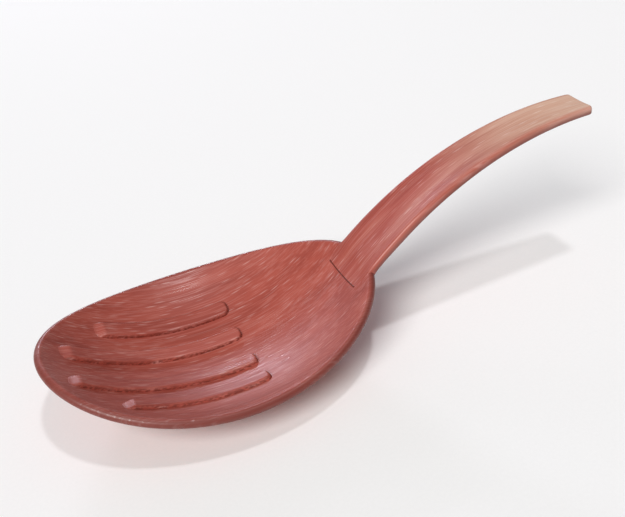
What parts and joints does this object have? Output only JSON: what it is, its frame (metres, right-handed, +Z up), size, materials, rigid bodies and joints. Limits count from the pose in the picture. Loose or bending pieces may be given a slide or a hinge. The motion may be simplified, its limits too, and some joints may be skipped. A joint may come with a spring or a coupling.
{
  "type": "wooden serving spoon",
  "caption": "Wooden serving spoon with a shallow oval ribbed bowl and a flat handle that rises and bends level towards its end.",
  "frame": {"origin": "middle of the small planed flat on the underside of the bowl, which the spoon stands on", "axes": "+X from the bowl to the handle's free end, +Y to the left when looking along +X, +Z up, out of the hollow"},
  "size_m": [0.2104, 0.0884, 0.0612],
  "materials": {
    "bowl_wood": "red-brown stained open-pored wood under a satin food-safe oil",
    "handle_wood": "the same wood, its stain worn from red at the root to bare tan at the free end",
    "glue": "cured dark-red tinted wood glue",
    "peg_wood": "stained dowel, trimmed flush so that its end grain shows"
  },
  "bodies": {
    "root": {"bowl": "bowl_wood", "handle": "handle_wood", "glue_film": "glue", "peg_left": "peg_wood", "peg_right": "peg_wood"}
  },
  "joints": []
}
